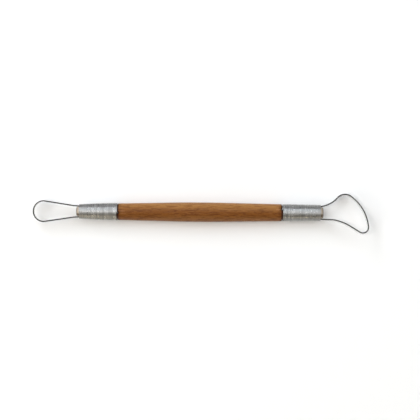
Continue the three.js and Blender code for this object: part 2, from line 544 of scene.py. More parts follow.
@dataclass(frozen=True)
class ToolEnd:
    """One end of the tool, looking outwards from its shoulder.

    Attributes:
        name: The end's name.
        way: Which way along X it points.
        body_length: Distance from the middle of the handle to the shoulder.
        shoulder_radius: Radius of the body at the shoulder.
        proud: How far the winding stands above the shoulder.
        tenon_taper: How much the tenon narrows under the winding.
        tail_angle: Angle of the wire's first tail from the top, towards +Y.
        loop_turn: Angle that the free part of the loop is turned about X.
        bends: Bends of the loop, from its +Y leg to the other one.
        tenon: Sizes that both ends share.
    """

    name: str
    way: int
    body_length: float
    shoulder_radius: float
    proud: float
    tenon_taper: float
    tail_angle: float
    loop_turn: float
    bends: tuple[Bend, ...]
    tenon: Tenon = field(default_factory=Tenon)

    @property
    def root_radius(self) -> float:
        """Radius of the tenon at its shoulder."""
        return self.shoulder_radius + self.proud - self.tenon.wire - self.tenon.binding_clearance

    def tenon_radius(self, distance: float) -> float:
        """Radius of the tenon at a distance from the shoulder."""
        along = min(max(distance / self.tenon.binding_length, 0.0), 1.0)
        return self.root_radius - self.tenon_taper * along**self.tenon.taper_power

    def leg_offset(self, distance: float) -> float:
        """Distance from the axis to the middle of a leg's thickness."""
        seat = self.tenon.binding_clearance - self.tenon.leg_clearance
        return self.tenon_radius(distance) + seat - self.tenon.strip_thickness / 2

    @property
    def leg_edge_angle(self) -> float:
        """Angle from the side of the tenon to the edge of a leg, at the tenon's tip."""
        outer = self.leg_offset(self.tenon.binding_length) + self.tenon.strip_thickness / 2
        return math.atan2(self.tenon.strip_height / 2, outer)


class StripTree(GeometryTree):
    """Sweeps a flat strip on edge along a line, and turns its free part about the handle."""

    def __init__(self) -> None:
        """Builds the tree."""
        lengths = [
            "Thickness", "Height", "Edge Radius", "Turn", "Turn From", "Turn To", "Axis Height",
        ]
        super().__init__("strip_on_edge", lengths, ["Edge Steps"])
        size = self.size
        line = self.node("GeometryNodeMeshToCurve", None, {"Mesh": size("Shape")}).outputs[0]
        level = self.node("GeometryNodeSetCurveNormal", {"mode": "Z_UP"}, {"Curve": line})
        section = self.bar_section(size("Thickness"), size("Height"))
        place = self.node("GeometryNodeInputPosition").outputs[0]
        along, _, up = self.axes(place)
        inputs = {
            "Geometry": self.swept(level.outputs[0], section),
            "Name": EDGE,
            "Value": 2 * abs(up) / size("Height"),
        }
        settings = {"data_type": "FLOAT", "domain": "POINT"}
        strip = self.node("GeometryNodeStoreNamedAttribute", settings, inputs).outputs[0]
        turn = size("Turn") * abs(along).eased(size("Turn From"), size("Turn To"))
        inputs = {"Vector": place, "Angle": turn}
        turned = self.node("ShaderNodeVectorRotate", {"rotation_type": "X_AXIS"}, inputs)
        inputs = {
            "Geometry": strip,
            "Position": turned.outputs[0],
            "Offset": self.vector(z=size("Axis Height")),
        }
        self.finish(self.node("GeometryNodeSetPosition", None, inputs).outputs[0])


class WindingTree(GeometryTree):
    """Winds a wire closely round a tenon and the two legs on it, with a tail at each end."""

    def __init__(self) -> None:
        """Builds the tree."""
        lengths = [
            "Way", "Turns", "Pitch", "First Turn", "Body Length", "Seat", "Tenon Root",
            "Tenon Taper", "Taper Power", "Binding Length", "Leg Edge Angle", "Edge Ease",
            "Start Angle", "Wire", "Edge Radius", "Tail Bend Radius", "Tail Step", "Tail Lean",
            "Axis Height",
        ]
        counts = ["Turn Steps", "Bend Steps", "Tail Steps", "Edge Steps"]
        super().__init__("winding", lengths, counts)
        size = self.size
        # Points for one tail, then for the turns, then for the other tail
        bend_steps = size("Bend Steps")
        turn_steps = size("Turns") * size("Turn Steps")
        tail_steps = bend_steps + size("Tail Steps")
        inputs = {
            "Curve": self.node("GeometryNodeCurvePrimitiveLine").outputs[0],
            "Count": self.maths("ROUND", turn_steps + 2 * tail_steps + 1),
        }
        stations = self.node("GeometryNodeResampleCurve", None, inputs)
        # Turns up to each point, and how many steps into a tail it is
        past = self.number("GeometryNodeInputIndex") - tail_steps
        turned = past.most(0).least(turn_steps) / size("Turn Steps")
        tail = (0 - past).most(past - turn_steps).most(0)
        turning = self.maths("SIGN", past - turn_steps / 2)
        # A tail bends inwards by a quarter of a circle and then runs straight in
        bend = tail.least(bend_steps) / bend_steps * (math.pi / 2)
        along = turning * size("Tail Bend Radius") * bend.sine()
        inward = size("Tail Bend Radius") * (1 - bend.cosine())
        inward += (tail - bend_steps).most(0) * size("Tail Step")
        # Place of each point, on a screw line that leans away at its tails
        angle = size("Start Angle") + turned * math.tau
        sine, cosine = angle.sine(), angle.cosine()
        reach = size("First Turn") + turned * size("Pitch")
        reach += turning * size("Tail Lean") * (tail / bend_steps).least(1)
        radius = self.seat_radius(reach, angle) - inward
        place = self.vector(
            size("Way") * (size("Body Length") + reach),
            radius * sine + along * cosine,
            size("Axis Height") + radius * cosine - along * sine,
        )
        inputs = {"Geometry": stations.outputs[0], "Position": place}
        wire = self.node("GeometryNodeSetPosition", None, inputs)
        # The flat side of the wire faces outwards all along it
        outward, sideways = bend.cosine(), turning * bend.sine()
        normal = self.vector(
            0, outward * sine + sideways * cosine, outward * cosine - sideways * sine
        )
        inputs = {"Curve": wire.outputs[0], "Normal": normal}
        aimed = self.node("GeometryNodeSetCurveNormal", {"mode": "FREE"}, inputs)
        self.finish(self.swept(aimed.outputs[0], self.bar_section(size("Wire"), size("Wire"))))

    def seat_radius(self, reach: Number, angle: Number) -> Number:
        """Distance from the axis to the wire's centre, over the wood and the edges of the legs.

        Args:
            reach: Distance from the shoulder.
            angle: Angle from the top, towards +Y.

        Returns:
            The distance.
        """
        size = self.size
        along = (reach / size("Binding Length")).most(0)
        tenon = size("Tenon Root") - size("Tenon Taper") * along ** size("Taper Power")
        from_side = self.maths("ARCCOSINE", abs(angle.sine()).least(1.0))
        over_edge = 2 * size("Leg Edge Angle") - from_side
        lean = self.maths("SMOOTH_MIN", from_side, over_edge, size("Edge Ease")).most(0)
        return (tenon + size("Seat")) / lean.cosine()


class TurningTree(GeometryTree):
    """Turns the handle: a long-tapered body between two stepped tenons."""

    def __init__(self) -> None:
        """Builds the tree."""
        lengths = [
            "Belly Radius", "Belly Flat", "Belly Rounding", "Body Length", "Edge Radius",
            "Binding Length", "Stub Length", "Taper Power", "Stub Taper", "Stub Edge",
            "Small Shoulder", "Large Shoulder", "Small Root", "Large Root",
            "Small Taper", "Large Taper", "Axis Height",
        ]
        super().__init__("turned_handle", lengths, ["Sides"])
        size = self.size
        line = self.node("GeometryNodeMeshToCurve", None, {"Mesh": size("Shape")})
        along, _, _ = self.axes(self.node("GeometryNodeInputPosition").outputs[0])
        self.at_large_end = along > 0
        distance = abs(along)
        on_tenon = distance > size("Body Length")
        body, tenon = self.body_radius(distance), self.tenon_radius(distance)
        radius = body + (tenon - body) * on_tenon
        inputs = {"Resolution": size("Sides")}
        circle = self.node("GeometryNodeCurvePrimitiveCircle", None, inputs)
        turned = self.swept(line.outputs[0], circle.outputs[0], radius)
        inputs = {"Geometry": turned, "Offset": self.vector(z=size("Axis Height"))}
        self.finish(self.node("GeometryNodeSetPosition", None, inputs).outputs[0])

    def either(self, name: str) -> Number:
        """The small or the large end's value of a size, whichever this end has."""
        small, large = self.size(f"Small {name}"), self.size(f"Large {name}")
        return small + (large - small) * self.at_large_end

    def edge_drop(self, distance: Number, end: Number, radius: Number) -> Number:
        """How far a rounded edge falls below its corner.

        Args:
            distance: Distance from the middle of the handle.
            end: Where the rounded edge ends.
            radius: Radius of the rounding.

        Returns:
            The drop.
        """
        past = (distance - end + radius).most(0).least(radius)
        return radius - (radius * radius - past * past).most(0).root()

    def fall(self, distance: Number) -> Number:
        """How far the body's taper has come, before it is scaled to the shoulder.

        Args:
            distance: Distance from the middle of the handle.

        Returns:
            The fall.
        """
        past = (distance - self.size("Belly Flat") / 2).most(0)
        rounding = self.size("Belly Rounding")
        return (past * past + rounding * rounding).root() - rounding

    def body_radius(self, distance: Number) -> Number:
        """Radius of the body: a straight belly, then a taper that starts gently.

        Args:
            distance: Distance from the middle of the handle.

        Returns:
            The radius.
        """
        size = self.size
        taper = size("Belly Radius") - self.either("Shoulder")
        narrowing = taper * self.fall(distance) / self.fall(size("Body Length"))
        drop = self.edge_drop(distance, size("Body Length"), size("Edge Radius"))
        return size("Belly Radius") - narrowing - drop

    def tenon_radius(self, distance: Number) -> Number:
        """Radius of the tenon, which narrows ever faster, and of the stub past the winding.

        Args:
            distance: Distance from the middle of the handle.

        Returns:
            The radius.
        """
        size = self.size
        reach = distance - size("Body Length")
        along = (reach / size("Binding Length")).most(0).least(1)
        bound = self.either("Root") - self.either("Taper") * along ** size("Taper Power")
        past = ((reach - size("Binding Length")) / size("Stub Length")).most(0)
        end = size("Body Length") + size("Binding Length") + size("Stub Length")
        drop = self.edge_drop(distance, end, size("Stub Edge"))
        return bound - past * size("Stub Taper") - drop


@dataclass(frozen=True)
class Pattern:
    """Noise that makes one feature of a surface.

    Attributes:
        waves: Waves per millimetre along X, Y and Z.
        octaves: How fine its detail goes.
        warp: How far it is distorted.
        ease: Where the feature starts and where it is full, from zero to one.
    """

    waves: Triple
    octaves: float = 2.0
    warp: float = 0.0
    ease: Span | None = None


class ShaderTree(NodeBuilder):
    """The node tree of one material.

    Attributes:
        mix_inputs: Sockets of a Mix node for the share and the two colours.
        mix_output: Socket of a Mix node for the mixed colour.
    """

    mix_inputs: tuple[int, int, int] = (0, 6, 7)
    mix_output: int = 2

    def __init__(self, name: str) -> None:
        """Makes a material with an empty Principled shader.

        Args:
            name: The material's name.
        """
        self.material = bpy.data.materials.new(name)
        self.material.use_nodes = True
        super().__init__(self.material.node_tree)
        self.tree.nodes.clear()
        self.shader = self.node("ShaderNodeBsdfPrincipled")
        self.node("ShaderNodeOutputMaterial", None, {"Surface": self.shader.outputs[0]})

    def millimetres(self, stretch: Triple, centre: Triple = (0, 0, 0)) -> bpy.types.NodeSocket:
        """Object coordinates in millimetres from a centre, scaled along each axis.

        Args:
            stretch: Scale along X, Y and Z.
            centre: The place that becomes zero.

        Returns:
            The coordinates.
        """
        place = self.node("ShaderNodeTexCoord").outputs["Object"]
        inputs = {
            0: place,
            1: [factor / METRES_PER_MM for factor in stretch],
            2: [-factor * middle for factor, middle in zip(stretch, centre)],
        }
        return self.node("ShaderNodeVectorMath", {"operation": "MULTIPLY_ADD"}, inputs).outputs[0]

    def noise(self, pattern: Pattern) -> Number:
        """Noise from zero to one.

        Args:
            pattern: Size and form of its clouds.

        Returns:
            The noise.
        """
        inputs = {
            "Vector": self.millimetres(pattern.waves),
            "Scale": 1.0,
            "Detail": pattern.octaves,
            "Distortion": pattern.warp,
        }
        noise = self.number("ShaderNodeTexNoise", None, inputs, "Fac")
        return noise.eased(*pattern.ease) if pattern.ease else noise

    def mixed(self, share: Any, first: Any, second: Any, blend: str = "MIX") -> Any:
        """Mixes two colours.

        Args:
            share: Share of the second colour.
            first: First colour.
            second: Second colour.
            blend: The Mix node's blending.

        Returns:
            The mixed colour's socket.
        """
        settings = {"data_type": "RGBA", "blend_type": blend}
        inputs = dict(zip(self.mix_inputs, (share, first, second)))
        return self.node("ShaderNodeMix", settings, inputs).outputs[self.mix_output]

    def relief(self, height: Number, depth: float) -> None:
        """Gives the surface small bumps.

        Args:
            height: Height from zero to one.
            depth: How far one is above zero, in millimetres.
        """
        inputs = {"Strength": 1.0, "Distance": depth * METRES_PER_MM, "Height": height}
        bump = self.node("ShaderNodeBump", None, inputs)
        self.feed(self.shader.inputs["Normal"], bump.outputs[0])


@dataclass(frozen=True)
class Scuff:
    """A worn patch on the top of the wood, where the oil has gone.

    Attributes:
        x: Distance of its middle from the middle of the handle.
        y: Distance of its middle from the axis.
        length: Half its length along the handle.
        width: Half its width.
        strength: How worn its middle is, from zero to one.
    """

    x: float
    y: float
    length: float
    width: float
    strength: float


@dataclass(frozen=True)
class HardwoodFinish:
    """Oiled hardwood with straight grain, paler along one side and bare at its ends.

    Lengths and places are in millimetres, and shares go from zero to one. A span says where a
    change starts and where it is full. Those named from_end count from the end face, and the
    one named rubbed_fade counts back and forth from the uneven edge of the rubbed wood.
    """

    axis_height: float
    half_length: float
    body_length: float
    deep: Colour = (0.225, 0.077, 0.0125, 1)
    # Painted light: the next two tones are partly wood and partly painted table bounce (-Y) and
    # sheen (+Y)
    warm_wood_and_bounce: Colour = (0.31, 0.134, 0.041, 1)
    pale_wood_and_sheen: Colour = (0.43, 0.206, 0.061, 1)
    streak: Colour = (0.42, 0.3, 0.22, 1)
    fleck: Colour = (0.4, 0.19, 0.085, 1)
    pore: Colour = (0.4, 0.28, 0.22, 1)
    # Painted shade: the next colour darkens the recess where the winding meets the shoulder
    shoulder_painted_shade: Colour = (0.045, 0.016, 0.008, 1)
    worn: Colour = (0.43, 0.2, 0.075, 1)
    bare: Colour = (0.5, 0.42, 0.33, 1)
    # Painted light: the next colour is a painted dark reflection on the stub's -Y side and painted
    # shade on its rim
    stub_painted_shade: Colour = (0.1, 0.065, 0.038, 1)
    roughness: float = 0.45
    gloss: float = 0.16
    stub_coat: float = 0.9
    stub_coat_roughness: float = 0.15
    relief: float = 0.03
    fibre_height: float = 0.35
    streak_height: float = 0.2
    pore_depth: float = 0.6
    fibre_roughness: float = 0.1
    pore_roughness: float = 0.12
    streaks: Pattern = Pattern((0.24, 1.7, 1.7), 3.0, 0.5, (0.48, 0.62))
    streak_share: float = 0.62
    fibres: Pattern = Pattern((0.45, 9.0, 9.0))
    fibre_share: float = 0.3
    flecks: Pattern = Pattern((0.4, 2.3, 2.3), 2.0, 0.4, (0.54, 0.68))
    fleck_share: float = 0.22
    pore_cells: Triple = (0.42, 3.6, 3.6)
    pore_edge: Span = (0.1, 0.24)
    pore_share: float = 0.7
    board_sway: Pattern = Pattern((0.055, 0.3, 0.3), 2.0, 0.3)
    board_sway_width: float = 2.4
    warm_bounce_side: Span = (0.6, 4.2)
    pale_sheen_side: Span = (-0.1, 3.5)
    scuff_edge: Pattern = Pattern((0.8, 4.0, 4.0))
    scuff_sway: float = 1.4
    scuff_fade: Span = (0.55, 1.1)
    shoulder_edge: Pattern = Pattern((0.9, 0.9, 0.9))
    rubbed_share: float = 0.5
    rubbed_length: float = 2.2
    rubbed_fade: Span = (1.2, 1.0)
    # The next three sizes place the painted shade in the shoulder's recess
    shoulder_shade_share: float = 0.9
    shoulder_shade_inset: float = 0.35
    shoulder_shade_length: float = 0.3
    # The next sizes place the painted reflection band and the painted rim shade on the stub
    stub_shade_sway: Pattern = Pattern((1.1, 1.1, 1.1))
    stub_shade_share: float = 0.85
    dark_band_place: float = 1.5
    dark_band_sway: float = 1.2
    dark_band_width: Span = (0.3, 1.1)
    rim_shade_share: float = 0.9
    rim_shade_sway: float = 0.5
    rim_shade_from_end: Span = (0.75, 0.3)
    stub_from_end: Span = (2.6, 2.2)
    scuffs: tuple[Scuff, ...] = (
        Scuff(-38.2, 0.35, 2.0, 0.3, 0.5),
        Scuff(-37.6, -0.8, 2.4, 0.28, 0.35),
        Scuff(38.2, 1.6, 1.3, 0.55, 0.55),
        Scuff(28.4, -3.5, 1.3, 0.25, 0.6),
    )

    def material(self) -> bpy.types.Material:
        """Builds the material.

        Returns:
            The material.
        """
        tree = ShaderTree(Slot.WOOD.value)
        along, across, up = tree.axes(tree.millimetres((1, 1, 1), (0, 0, self.axis_height)))
        streak, fibre = tree.noise(self.streaks), tree.noise(self.fibres)
        pores = self.pores(tree)
        grain = self.board(tree, across)
        grain = tree.mixed(self.streak_share * streak, grain, self.streak, "MULTIPLY")
        grain = tree.mixed(self.fleck_share * tree.noise(self.flecks), grain, self.fleck)
        grain = tree.mixed(self.fibre_share * fibre, grain, self.streak, "MULTIPLY")
        grain = tree.mixed(self.pore_share * pores, grain, self.pore, "MULTIPLY")
        for scuff in self.scuffs:
            grain = tree.mixed(self.patch(tree, scuff, along, across, up), grain, self.worn)
        grain = self.shouldered(tree, grain, abs(along))
        stub, stub_mask = self.stub(tree, abs(along), across)
        tree.feed(tree.shader.inputs["Base Color"], tree.mixed(stub_mask, grain, stub))
        roughness = self.roughness + self.fibre_roughness * (fibre - 0.5)
        roughness += self.pore_roughness * pores
        tree.feed(tree.shader.inputs["Roughness"], roughness)
        tree.feed(tree.shader.inputs["Coat Weight"], self.stub_coat * stub_mask)
        tree.shader.inputs["Coat Roughness"].default_value = self.stub_coat_roughness
        tree.shader.inputs["Specular IOR Level"].default_value = self.gloss
        height = self.fibre_height * fibre + self.streak_height * streak - self.pore_depth * pores
        tree.relief(height, self.relief)
        return tree.material

    def board(self, tree: ShaderTree, across: Number) -> Any:
        """Wood tones along the handle, with a painted sheen on +Y and painted table bounce on -Y.

        Args:
            tree: The material's tree.
            across: Distance from the axis towards +Y.

        Returns:
            The colour's socket.
        """
        place = across + self.board_sway_width * (tree.noise(self.board_sway) - 0.5)
        # Painted light: the -Y side is lighter as painted bounce from the table, over warmer wood
        lower = tree.mixed((0 - place).eased(*self.warm_bounce_side), self.deep, self.warm_wood_and_bounce)
        # Painted light: the +Y side is lighter as a painted sheen from the back lamps, over paler
        # wood
        return tree.mixed(place.eased(*self.pale_sheen_side), lower, self.pale_wood_and_sheen)

    def pores(self, tree: ShaderTree) -> Number:
        """Fine open pores, cut lengthwise into short dashes.

        Args:
            tree: The material's tree.

        Returns:
            One in a pore and zero beside it.
        """
        inputs = {"Vector": tree.millimetres(self.pore_cells), "Scale": 1.0, "Randomness": 1.0}
        distance = tree.number("ShaderNodeTexVoronoi", None, inputs, "Distance")
        return 1 - distance.eased(*self.pore_edge)

    def patch(
        self, tree: ShaderTree, scuff: Scuff, along: Number, across: Number, up: Number
    ) -> Number:
        """How worn the wood is by one scuff.

        Args:
            tree: The material's tree.
            scuff: The scuff.
            along: Distance from the middle towards +X.
            across: Distance from the axis towards +Y.
            up: Height above the axis.

        Returns:
            A number from zero to one.
        """
        far = abs(along - scuff.x) / scuff.length
        wide = abs(across - scuff.y) / scuff.width
        sway = self.scuff_sway * (tree.noise(self.scuff_edge) - 0.5)
        reach = (far * far + wide * wide).root() + sway
        return scuff.strength * (1 - reach.eased(*self.scuff_fade)) * (up > 0)

    def shouldered(self, tree: ShaderTree, grain: Any, reach: Number) -> Any:
        """Darkens the wood towards its shoulders, with painted shade in the corner of the winding.

        Args:
            tree: The material's tree.
            grain: Colour of the plain wood.
            reach: Distance from the middle.

        Returns:
            The colour's socket.
        """
        uneven = tree.noise(self.shoulder_edge)
        start = self.body_length - self.rubbed_length * uneven
        before, after = self.rubbed_fade
        rubbed_share = self.rubbed_share * reach.eased(start - before, start + after)
        rubbed = tree.mixed(rubbed_share, grain, self.streak, "MULTIPLY")
        # Painted shade in the recess between the shoulder and the first turn of the winding
        corner = self.body_length - self.shoulder_shade_inset - self.shoulder_shade_length * uneven
        shoulder_shaded = self.shoulder_shade_share * reach.eased(corner, corner + self.shoulder_shade_length)
        return tree.mixed(shoulder_shaded, rubbed, self.shoulder_painted_shade)

    def stub(self, tree: ShaderTree, reach: Number, across: Number) -> tuple[Any, Number]:
        """Pale stub wood, with painted reflection on its -Y side and painted shade round its rim.

        Args:
            tree: The material's tree.
            reach: Distance from the middle.
            across: Distance from the axis towards +Y.

        Returns:
            The colour's socket, and one where the stub is.
        """
        sway = tree.noise(self.stub_shade_sway) - 0.5
        # Painted reflection: a dark band along the stub's -Y side, as its gloss would mirror the
        # dim room
        from_dark_band = abs(across + self.dark_band_place + self.dark_band_sway * sway)
        dark_band = 1 - from_dark_band.eased(*self.dark_band_width)
        # Painted shade round the stub's rounded rim at the end face
        rim_start, rim_end = (self.half_length - length for length in self.rim_shade_from_end)
        rim = reach.eased(rim_start - self.rim_shade_sway * sway, rim_end)
        stub_shaded = self.stub_shade_share * dark_band.most(self.rim_shade_share * rim)
        stub_start, stub_end = (self.half_length - length for length in self.stub_from_end)
        return tree.mixed(stub_shaded, self.bare, self.stub_painted_shade), reach.eased(stub_start, stub_end)


@dataclass(frozen=True)
class WireFinish:
    """Bright zinc-coated wire, a little uneven from turn to turn."""

    bright: Colour = (0.58, 0.58, 0.575, 1)
    dull: Colour = (0.38, 0.38, 0.375, 1)
    roughness: float = 0.24
    relief: float = 0.0004
    tone_share: float = 0.8
    speck_share: float = 0.2
    tone_roughness: float = 0.04
    speck_roughness: float = 0.06
    turn_tones: Pattern = Pattern((1.3, 0.02, 0.02), 1.0, 0.0, (0.38, 0.62))
    specks: Pattern = Pattern((5.0, 5.0, 5.0))

    def material(self) -> bpy.types.Material:
        """Builds the material.

        Returns:
            The material.
        """
        tree = ShaderTree(Slot.WIRE.value)
        tree.shader.inputs["Metallic"].default_value = 1.0
        tone, speck = tree.noise(self.turn_tones), tree.noise(self.specks)
        share = self.tone_share * tone + self.speck_share * speck
        roughness = self.roughness + self.tone_roughness * tone + self.speck_roughness * speck
        tree.feed(tree.shader.inputs["Base Color"], tree.mixed(share, self.bright, self.dull))
        tree.feed(tree.shader.inputs["Roughness"], roughness)
        tree.relief(speck, self.relief)
        return tree.material


@dataclass(frozen=True)
class StripFinish:
    """Rolled steel strip with bright faces and rough edges darkened by a painted reflection."""

    face: Colour = (0.85, 0.85, 0.84, 1)
    # Painted reflection: the edges' near-black colour stands in for the dim ceiling that they
    # mirror
    edge: Colour = (0.05, 0.049, 0.047, 1)
    stain: Colour = (0.6, 0.57, 0.53, 1)
    face_roughness: float = 0.12
    edge_roughness: float = 0.42
    relief: float = 0.004
    drawn_roughness: float = 0.12
    face_stain_share: float = 0.5
    face_stain: Span = (0.45, 0.75)
    edge_stain: Span = (0.35, 0.65)
    edge_from: Span = (0.921, 0.935)
    drawn_lines: Pattern = Pattern((0.15, 0.15, 14.0), 3.0)
    stain_cloud: Pattern = Pattern((0.35, 0.35, 0.35))

    def material(self) -> bpy.types.Material:
        """Builds the material.

        Returns:
            The material.
        """
        tree = ShaderTree(Slot.STRIP.value)
        tree.shader.inputs["Metallic"].default_value = 1.0
        attribute = tree.node("ShaderNodeAttribute", {"attribute_name": EDGE})
        on_edge = abs(Number(tree, attribute.outputs["Fac"])).eased(*self.edge_from)
        drawn, cloud = tree.noise(self.drawn_lines), tree.noise(self.stain_cloud)
        face_stain = self.face_stain_share * cloud.eased(*self.face_stain)
        face = tree.mixed(face_stain, self.face, self.stain)
        # Painted reflection: the edge colour darkens the narrow faces as if they mirrored the dim
        # ceiling
        edge = tree.mixed(cloud.eased(*self.edge_stain), self.edge, self.stain, "MULTIPLY")
        tree.feed(tree.shader.inputs["Base Color"], tree.mixed(on_edge, face, edge))
        step = self.edge_roughness - self.face_roughness
        roughness = self.face_roughness + self.drawn_roughness * (drawn - 0.5) + step * on_edge
        tree.feed(tree.shader.inputs["Roughness"], roughness)
        tree.relief(drawn, self.relief)
        return tree.material


def mounted(piece: bpy.types.Object, slot: Slot, *nodes: str) -> None:
    """Scales a finished piece to metres and gives it to the frame.

    Args:
        piece: The piece, in millimetres.
        slot: Its material slot in the record; not used.
        nodes: The solids that it stands for.
    """
    piece.data.transform(Matrix.Scale(METRES_PER_MM, 4))
    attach(piece, BODY)
    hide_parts(*nodes)
    low = [min(corner[axis] for corner in piece.bound_box) for axis in range(3)]
    high = [max(corner[axis] for corner in piece.bound_box) for axis in range(3)]
    LOG.info("%s: %d faces, %s to %s", piece.name, len(piece.data.polygons), low, high)


def smoothed(piece: bpy.types.Object, sharp_from: float) -> None:
    """Shades a piece smooth, apart from its sharp edges.

    Args:
        piece: The piece.
        sharp_from: Least angle of a sharp edge, in degrees.
    """
    piece.data.shade_smooth()
    piece.data.set_sharp_from_angle(angle=math.radians(sharp_from))


@dataclass
class StripLoop:
    """A loop of flat steel strip with both legs and their toes."""

    end: ToolEnd
    edge_radius: float = 0.12
    edge_steps: int = 3
    bend_step: float = math.radians(2.5)
    turn_reach: float = 7.0
    sharp_from: float = 40.0

    def centre_line(self, toe_growth: float = 0.0) -> list[Vector]:
        """Centre line of the strip, from one toe to the other.

        Args:
            toe_growth: How much longer the toes are.

        Returns:
            Its points, flat at the height of the axis.
        """
        tenon = self.end.tenon
        toe_offset = self.end.leg_offset(tenon.toe_from_shoulder)
        leg_length = tenon.binding_length - tenon.toe_from_shoulder
        leg = []
        for step in range(1, tenon.leg_points + 1):
            reach = tenon.toe_from_shoulder + leg_length * step / tenon.leg_points
            leg.append((reach, self.end.leg_offset(reach)))
        hooked = [
            (tenon.toe_from_shoulder, toe_offset - tenon.toe_length - toe_growth),
            (tenon.toe_from_shoulder, toe_offset, tenon.toe_bend_radius),
            *leg,
        ]
        mirrored = [(corner[0], -corner[1], *corner[2:]) for corner in reversed(hooked)]
        bends = [
            (tenon.binding_length + bend.past, bend.across, bend.radius) for bend in self.end.bends
        ]
        line = rounded_line([*hooked, *bends, *mirrored], self.bend_step)
        start = self.end.body_length
        return [Vector((self.end.way * (start + point.x), point.y, 0)) for point in line]

    def build(
        self,
        tree: StripTree,
        frame: Frame,
        material: bpy.types.Material,
        clearance: float = 0.0,
        toe_growth: float = 0.0,
    ) -> bpy.types.Object:
        """Makes the loop, or the groove that it lies in.

        Args:
            tree: The tree that sweeps the strip.
            frame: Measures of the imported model.
            material: The finish.
            clearance: Growth on every side of the section.
            toe_growth: Growth of the toes' length.

        Returns:
            The piece, in millimetres.
        """
        name = f"{self.end.name}_loop_strip"
        start = chain(name, self.centre_line(toe_growth))
        tenon = self.end.tenon
        turn_from = self.end.body_length + tenon.binding_length
        sizes = {
            "Thickness": tenon.strip_thickness + 2 * clearance,
            "Height": tenon.strip_height + 2 * clearance,
            "Edge Radius": self.edge_radius,
            "Edge Steps": self.edge_steps,
            "Turn": self.end.loop_turn,
            "Turn From": turn_from,
            "Turn To": turn_from + self.turn_reach,
            "Axis Height": frame.axis_height,
        }
        piece = tree.grow(name, start, material, sizes)
        smoothed(piece, self.sharp_from)
        return piece


@dataclass
class Winding:
    """The close winding of thin wire that binds a loop to its tenon."""

    end: ToolEnd
    wire: float = 0.394
    edge_radius: float = 0.12
    edge_steps: int = 3
    turn_steps: int = 64
    bend_steps: int = 8
    tail_steps: int = 4
    edge_ease: float = 0.12
    sharp_from: float = 60.0

    def build(
        self, tree: WindingTree, frame: Frame, material: bpy.types.Material
    ) -> bpy.types.Object:
        """Makes the winding.

        Args:
            tree: The tree that winds the wire.
            frame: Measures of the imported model.
            material: The finish.

        Returns:
            The piece, in millimetres.
        """
        tenon = self.end.tenon
        wound_length = tenon.binding_length - tenon.first_turn - tenon.last_gap
        sizes = {
            "Way": float(self.end.way),
            "Turns": tenon.turns,
            "Pitch": wound_length / tenon.turns,
            "First Turn": tenon.first_turn,
            "Body Length": self.end.body_length,
            "Seat": tenon.binding_clearance + tenon.wire / 2,
            "Tenon Root": self.end.root_radius,
            "Tenon Taper": self.end.tenon_taper,
            "Taper Power": tenon.taper_power,
            "Binding Length": tenon.binding_length,
            "Leg Edge Angle": self.end.leg_edge_angle,
            "Edge Ease": self.edge_ease,
            "Start Angle": self.end.tail_angle,
            "Wire": self.wire,
            "Edge Radius": self.edge_radius,
            "Tail Bend Radius": tenon.tail_bend_radius,
            "Tail Step": tenon.tail_length / self.tail_steps,
            "Tail Lean": tenon.tail_lean,
            "Axis Height": frame.axis_height,
            "Turn Steps": self.turn_steps,
            "Bend Steps": self.bend_steps,
            "Tail Steps": self.tail_steps,
            "Edge Steps": self.edge_steps,
        }
        name = f"{self.end.name}_end_winding"
        piece = tree.grow(name, bpy.data.meshes.new(name), material, sizes)
        smoothed(piece, self.sharp_from)
        return piece


